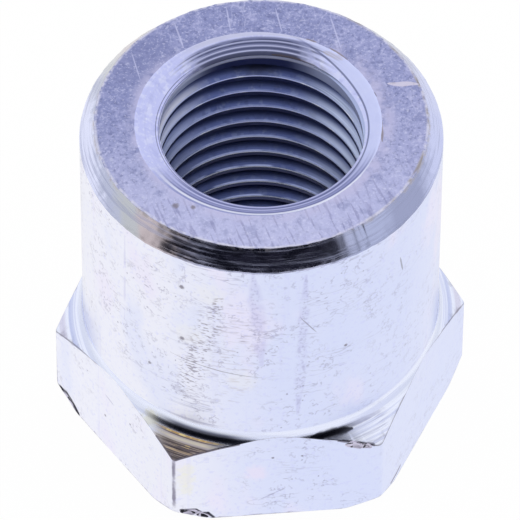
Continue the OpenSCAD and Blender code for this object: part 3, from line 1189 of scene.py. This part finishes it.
def countersink_finish():
    """The countersunk cone: dull plate, ringed at the back under painted shade and dark reflections, with
    painted highlights by its rim, a spiral tool line and a brown stain.
    """
    f = Finish("countersunk_cone", tone(206, 212, 255), 0.5)
    off_back = f.w.math("DIVIDE", f.w.math("ABSOLUTE", f.axes[0]), f.radius)
    behind = f.w.ramp(f.axes[1], 0.2 * MM, 1.2 * MM)
    back = f.both(behind, f.w.ramp(off_back, 0.68, 0.38))
    front = f.w.ramp(f.axes[1], -1.6 * MM, -4.0 * MM)
    right = f.w.ramp(f.axes[0], 1.6 * MM, 3.2 * MM)
    f.metallic = f.w.ramp(back, 0.3, 1.0, 0.15, 0.4)
    f.roughen(back, -0.1)
    speckle = f.w.noise(f.place, 6500.0, 3.0)
    f.lay(f.w.ramp(f.axes[0], -1.5 * MM, -3.6 * MM), tone(193, 198, 246), 0.9)
    f.lay(f.cloud(0.35, 0.50, 0.66), tone(222, 226, 255), 0.5)
    f.lay(f.cloud(0.45, 0.48, 0.34), tone(172, 178, 232), 0.45)
    f.lay(f.w.ramp(speckle, 0.54, 0.70), tone(226, 230, 255), 0.5)
    outside = spiral_line(f)
    f.lay(f.both(right, f.w.ramp(outside, -0.02 * MM, 0.02 * MM)), tone(204, 211, 252), 0.8)
    f.lay(front, tone(136, 142, 196), 0.9)
    rings = f.w.effect("turning_lines", Vector=f.place, Along=90.0, Across=9000.0)
    ringed = f.w.math("MAXIMUM", back, front)
    ring_share = f.w.ramp(ringed, 0.0, 1.0, 0.25, 1.0)
    f.lay(f.both(f.w.ramp(rings, 0.52, 0.64), ring_share), tone(162, 168, 214), 0.5)
    # Painted dark reflection over the back, and a painted highlight on the outer strip by the rim
    f.lay(f.both(back, f.w.ramp(f.radius, 5.20 * MM, 5.10 * MM)), tone(110, 116, 158), 0.95)
    f.lay(f.both(back, f.w.ramp(f.radius, 5.16 * MM, 5.24 * MM)), tone(196, 198, 226), 0.8)
    # Painted dark reflection on the back rings, fading towards the sides
    breaks = f.cloud(0.9, 0.30, 0.52)
    dark = f.both(behind, f.w.ramp(off_back, 0.80, 0.45), breaks)
    for r_mm, half_mm in DARK_RINGS:
        f.lay(f.both(f.ring(r_mm, half_mm), dark), tone(66, 72, 110), 0.85)
    for r_mm, half_mm in LIGHT_RINGS:
        f.lay(f.both(f.ring(r_mm, half_mm), back), tone(206, 211, 246), 0.6)
    # Painted shade on the lowest part of the back, next to the thread
    f.lay(f.both(f.w.ramp(f.radius, 4.62 * MM, 4.56 * MM), dark), tone(50, 55, 86), 0.9)
    for r_mm, half_mm, colour in FRONT_RINGS:
        f.lay(f.both(f.ring(r_mm, half_mm), front), colour, 0.85)
    inner = f.w.math("MAXIMUM", f.ring(4.50, 0.03), f.ring(4.62, 0.025))
    f.lay(f.both(inner, f.w.ramp(f.axes[0], -1.6 * MM, -3.4 * MM)), tone(96, 102, 148), 0.8)
    on_line = f.w.ramp(f.w.math("ABSOLUTE", outside), 0.05 * MM, 0.02 * MM)
    f.lay(f.both(right, on_line), tone(84, 92, 140), 0.8)
    streaks = f.w.ramp(rings, 0.42, 0.54, 0.4, 1.0)
    f.scratches(tone(70, 58, 54), 0.9, [((0.9, 4.40, 16.78), (2.1, 3.98, 16.78), 0.17),
                                        ((1.9, 4.05, 16.78), (2.9, 3.36, 16.76), 0.15)], streaks)
    f.scratches(tone(176, 166, 168), 0.7, [((3.06, 4.08, 17.16), (4.04, 3.32, 17.23), 0.16)], streaks)
    f.raise_by(rings, 1.0)
    return f.done(0.003 * MM)


def groove_finish():
    """The thread's flanks: painted shade at the back, deep down and towards the root, painted light at the
    sides, and painted highlights along the crests.
    """
    # A dark base: bare steel under thin plate, darkened further as painted shade
    f = Finish("thread_flank", tone(87, 100, 156), 0.32)
    f.metallic = 0.8
    f.lay(f.cloud(0.4, 0.54, 0.68), tone(138, 150, 192), 0.4)
    f.lay(f.cloud(0.3, 0.46, 0.34), tone(62, 70, 108), 0.4)
    # Painted light: the flanks turn lighter towards the sides, most on the left near the top
    across = f.w.math("DIVIDE", f.axes[0], f.radius)
    left = f.w.ramp(across, -0.35, -0.95)
    right = f.w.ramp(across, 0.35, 0.98)
    f.lay(left, tone(164, 175, 214), 1.0)
    f.lay(f.both(left, f.w.ramp(f.axes[2], 13.4 * MM, 16 * MM)), tone(206, 207, 220), 0.9)
    f.lay(right, tone(212, 225, 255), 1.0)
    # Painted shade: darker deeper down the bore
    f.lay(f.w.ramp(f.axes[2], 14 * MM, 9 * MM), tone(78, 90, 140), 0.5)
    lines = f.w.effect("turning_lines", Vector=f.place, Along=120.0, Across=9000.0)
    f.lay(f.w.ramp(lines, 0.5, 0.66), tone(66, 80, 124), 0.4)
    # Painted shade towards the root, starting a little further in at the sides
    side = f.w.math("MAXIMUM", left, right)
    depth = f.w.math("ADD", f.radius, f.w.math("MULTIPLY", side, 0.08 * MM))
    f.lay(f.w.ramp(depth, CREST_R + 0.12 * MM, CREST_R + 0.48 * MM), tone(80, 93, 150), 1.0)
    # Painted highlight on the strip next to each crest, stronger deep down
    lit = f.w.ramp(f.radius, CREST_R + 0.12 * MM, CREST_R + 0.07 * MM)
    lit = f.both(lit, f.cloud(1.3, 0.36, 0.56), f.w.ramp(f.axes[2], 14 * MM, 8 * MM, 0.35, 1.0))
    f.lay(lit, tone(172, 184, 234), 0.9)
    # Painted shade at the back below the cone, and painted light where the groove fades out
    f.spots(tone(44, 46, 66), 0.7, [((0.2, 4.7, 16.35), 1.6)])
    f.spots(tone(176, 188, 230), 0.9, [((4.60, 1.1, 16.6), 1.9), ((4.0, 2.6, 16.7), 1.2)], 0.4)
    f.raise_by(lines, 1.0)
    return f.done(0.004 * MM)


# Tones of the thread's crests and of their broken edges: at the back, deep down, at the sides and in nicks
# The crests' tones are painted shade, lighter at the sides; the broken edges' are painted highlights,
# brighter deep down
CREST_TONES = (tone(38, 47, 98), tone(38, 47, 98), tone(60, 70, 118), tone(56, 65, 112))
CREST_EDGE_TONES = (tone(178, 188, 240), tone(226, 234, 255), tone(176, 188, 230), tone(230, 236, 255))


def crest_finish(name, metallic, colour, deep, beside, nicked):
    """The thread's crests or their broken edges, with small nicks and painted light and shade; deep is the
    tone low in the bore.
    """
    f = Finish(name, colour, 0.3)
    # The deep tone low in the bore: a painted highlight on the broken edges
    f.lay(f.w.ramp(f.axes[2], 14 * MM, 9 * MM), deep, 1.0)
    # Painted reflection: the tone at the sides
    across = f.w.math("DIVIDE", f.w.math("ABSOLUTE", f.axes[0]), f.radius)
    f.lay(f.w.ramp(across, 0.35, 0.98), beside, 1.0)
    nicks = f.w.noise(f.place, 1100.0, 3.0)
    f.lay(f.w.ramp(nicks, 0.56, 0.68), nicked, 0.8)
    # Painted reflection: crests below the cone turn light towards the sides
    below_cone = f.both(f.w.ramp(f.axes[2], 15.75 * MM, 16.15 * MM), f.w.ramp(across, 0.30, 0.75))
    f.lay(below_cone, tone(176, 186, 222), 0.85)
    # Painted highlight along the lip where the cone meets the thread
    lip = f.both(f.w.ramp(f.axes[2], 16.52 * MM, 16.62 * MM), f.w.ramp(f.axes[2], 16.77 * MM, 16.71 * MM))
    f.lay(lip, tone(206, 211, 240), 0.9)
    f.roughen(nicks, 0.1)
    f.metallic = f.w.ramp(below_cone, 0.0, 1.0, metallic, 0.15)
    f.raise_by(nicks, 1.0)
    return f.done(0.004 * MM)


def chip_finish():
    """Bare metal in the chips, with painted shade where they are deep and painted shadow along their upper
    edges.
    """
    f = Finish("chipped_metal", tone(212, 208, 230), 0.4)
    f.metallic = 0.5
    floor = f.w.add("ShaderNodeAttribute", attribute_name="edge").outputs["Fac"]
    grain = f.w.noise(f.place, 6000.0, 3.0)
    f.lay(f.w.ramp(grain, 0.5, 0.7), tone(182, 177, 196), 0.6)
    # Painted shade in the deep part of each chip's floor
    ragged = f.w.math("ADD", floor, f.w.math("MULTIPLY", grain, 0.2))
    f.lay(f.w.ramp(ragged, 0.46, 0.58), tone(26, 26, 38), 1.0)
    # Painted shadow lines under the chips' upper edges
    for turn, width, points in CHIP_SHADOW_LINES:
        f.flat_line(tone(34, 33, 54), 1.0, turn, points, width)
    f.raise_by(grain, 1.0)
    return f.done(0.01 * MM)


def strike_finish():
    """Bright metal where something struck the end."""
    f = Finish("struck_metal", tone(206, 202, 226), 0.4)
    f.metallic = 0.6
    grain = f.w.noise(f.place, 5000.0, 2.0)
    f.lay(f.w.ramp(grain, 0.5, 0.7), tone(178, 172, 190), 0.7)
    f.raise_by(grain, 1.0)
    return f.done(0.004 * MM)


def base_finish():
    """The faced underside, with the rings of its last cut."""
    f = Finish("faced_base", tone(204, 209, 238), 0.34)
    rings = f.w.effect("turning_lines", Vector=f.place, Along=120.0, Across=7000.0)
    f.lay(f.w.ramp(rings, 0.48, 0.64), tone(168, 174, 208), 0.8)
    f.lay(f.cloud(2.4, 0.5, 0.66), tone(188, 188, 210), 0.6)
    f.raise_by(rings, 1.0)
    return f.done(0.008 * MM)


def shade(mesh, cut_names):
    """Smooth shading that breaks at steep edges and all round the cut finishes."""
    for polygon in mesh.polygons:
        polygon.use_smooth = True
    mesh.set_sharp_from_angle(angle=math.radians(32))
    cut = [material.name in cut_names for material in mesh.materials]
    bm = bmesh.new()
    bm.from_mesh(mesh)
    for line in bm.edges:
        sides = {face.material_index for face in line.link_faces}
        if len(sides) > 1 and any(cut[side] for side in sides):
            line.smooth = False
    bm.to_mesh(mesh)
    bm.free()


def build_nut():
    """The whole nut: blank, chips, thread, shading."""
    finishes = {
        "flat": flat_finish(),
        "shoulder": shoulder_finish(),
        "collar": collar_finish(),
        "chamfer": chamfer_finish(),
        "end_face": end_face_finish(),
        "countersink": countersink_finish(),
        "crest": crest_finish("thread_crest", 0.5, *CREST_TONES),
        "base": base_finish(),
    }
    blank = nut_blank()
    for region in REGIONS:
        blank.materials.append(finishes[region])
    groove = groove_finish()
    edge = crest_finish("broken_crest_edge", 0.15, *CREST_EDGE_TONES)
    chip = chip_finish()
    strike = strike_finish()
    mesh = knocked(blank, chip, strike)
    mesh = threaded(mesh, groove, edge)
    mesh.name = "nut"
    shade(mesh, [groove.name, edge.name, chip.name, strike.name])
    nut = bpy.data.objects.new("nut", mesh)
    bpy.context.scene.collection.objects.link(nut)
    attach(nut, "root")
    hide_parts(NODE)


# Camera, at the photograph's view
IMAGE_PX = 520
VIEW_AZIMUTH = math.radians(-5.64)
VIEW_ELEVATION = math.radians(49.01)
VIEW_ROLL = math.radians(0.33)
VIEW_DISTANCE = 323.2 * MM
VIEW_FOCAL_PX = 7263.6
VIEW_AIM = Vector((-0.03 * MM, 0, 8.145 * MM))


def add_camera():
    turn = Matrix.Rotation(VIEW_AZIMUTH, 3, "Z")
    back = turn @ Vector((0, -math.cos(VIEW_ELEVATION), math.sin(VIEW_ELEVATION)))
    level_right = turn @ Vector((1, 0, 0))
    level_up = back.cross(level_right)
    right = level_right * math.cos(VIEW_ROLL) + level_up * math.sin(VIEW_ROLL)
    up = back.cross(right)
    place = turn @ VIEW_AIM + back * VIEW_DISTANCE
    data = bpy.data.cameras.new("camera")
    data.sensor_width = 36
    data.lens = VIEW_FOCAL_PX * data.sensor_width / IMAGE_PX
    data.clip_start = 0.01
    camera = bpy.data.objects.new("camera", data)
    camera.matrix_world = Matrix.Translation(place) @ Matrix((right, up, back)).transposed().to_4x4()
    bpy.context.scene.collection.objects.link(camera)
    bpy.context.scene.camera = camera


def add_world():
    """An even white surround."""
    world = bpy.data.worlds.new("studio")
    bpy.context.scene.world = world
    world.use_nodes = True
    background = world.node_tree.nodes["Background"]
    background.inputs["Color"].default_value = (1, 1, 1, 1)
    background.inputs["Strength"].default_value = 1.0


def add_floor():
    """A white floor that keeps a faint shadow of the nut."""
    mesh = bpy.data.meshes.new("floor")
    size = 0.6
    drop = -0.01 * MM
    corners = [(-size, -size, drop), (size, -size, drop), (size, size, drop), (-size, size, drop)]
    mesh.from_pydata(corners, [], [(0, 1, 2, 3)])
    floor = bpy.data.objects.new("floor", mesh)
    bpy.context.scene.collection.objects.link(floor)
    material = bpy.data.materials.new("floor_paper")
    material.use_nodes = True
    material.node_tree.nodes.clear()
    w = Wiring(material.node_tree)
    path = w.add("ShaderNodeLightPath").outputs
    mirrored = w.math("MAXIMUM", path["Is Glossy Ray"], path["Is Transmission Ray"])
    seen = w.math("MAXIMUM", w.math("MULTIPLY", path["Is Camera Ray"], 0.97), mirrored)
    paper = w.add("ShaderNodeBsdfDiffuse", {"Color": (0.96, 0.96, 0.96, 1)}).outputs[0]
    glow = w.add("ShaderNodeEmission", {"Color": (1, 1, 1, 1), "Strength": 1.0}).outputs[0]
    mixed = w.add("ShaderNodeMixShader", {0: seen, 1: paper, 2: glow}).outputs[0]
    w.add("ShaderNodeOutputMaterial", {"Surface": mixed})
    mesh.materials.append(material)


# Dark card round the camera's side: where it stands, how far it reaches and how soft its border is
CARD_R = 0.2
CARD_TURN = (math.radians(-63), math.radians(53))
CARD_RISE = (math.radians(-4), math.radians(54))
CARD_SOFT = math.radians(9)
CARD_COLUMNS = 44
CARD_ROWS = 20


def add_card():
    """A dark curved card that only reflections see."""
    mesh = bpy.data.meshes.new("dark_card")
    bm = bmesh.new()
    glow_layer = bm.verts.layers.float.new("glow")
    grid = []
    for column in range(CARD_COLUMNS + 1):
        turn = CARD_TURN[0] + (CARD_TURN[1] - CARD_TURN[0]) * column / CARD_COLUMNS
        line = []
        for row in range(CARD_ROWS + 1):
            rise = CARD_RISE[0] + (CARD_RISE[1] - CARD_RISE[0]) * row / CARD_ROWS
            inside = min(turn - CARD_TURN[0], CARD_TURN[1] - turn, rise - CARD_RISE[0], CARD_RISE[1] - rise)
            azimuth = turn + VIEW_AZIMUTH
            level = CARD_R * math.cos(rise)
            place = (level * math.sin(azimuth), -level * math.cos(azimuth), CARD_R * math.sin(rise))
            vert = bm.verts.new(place)
            vert[glow_layer] = 1 - min(1, inside / CARD_SOFT)
            line.append(vert)
        grid.append(line)
    for here, there in zip(grid, grid[1:]):
        for row in range(CARD_ROWS):
            bm.faces.new((here[row], there[row], there[row + 1], here[row + 1]))
    bm.to_mesh(mesh)
    bm.free()
    card = bpy.data.objects.new("dark_card", mesh)
    bpy.context.scene.collection.objects.link(card)
    material = bpy.data.materials.new("dark_card")
    material.use_nodes = True
    material.node_tree.nodes.clear()
    w = Wiring(material.node_tree)
    glow = w.add("ShaderNodeAttribute", attribute_name="glow").outputs["Fac"]
    card_tone = w.mix(w.ramp(glow, 0.0, 1.0), (0.02, 0.02, 0.03, 1), (1, 1, 1, 1))
    light = w.add("ShaderNodeEmission", {"Color": card_tone, "Strength": 1.0}).outputs[0]
    w.add("ShaderNodeOutputMaterial", {"Surface": light})
    mesh.materials.append(material)
    card.visible_camera = False
    card.visible_diffuse = False
    card.visible_shadow = False
    card.visible_transmission = False


build_nut()
add_camera()
add_world()
add_floor()
add_card()
bpy.context.scene.view_settings.view_transform = "Standard"
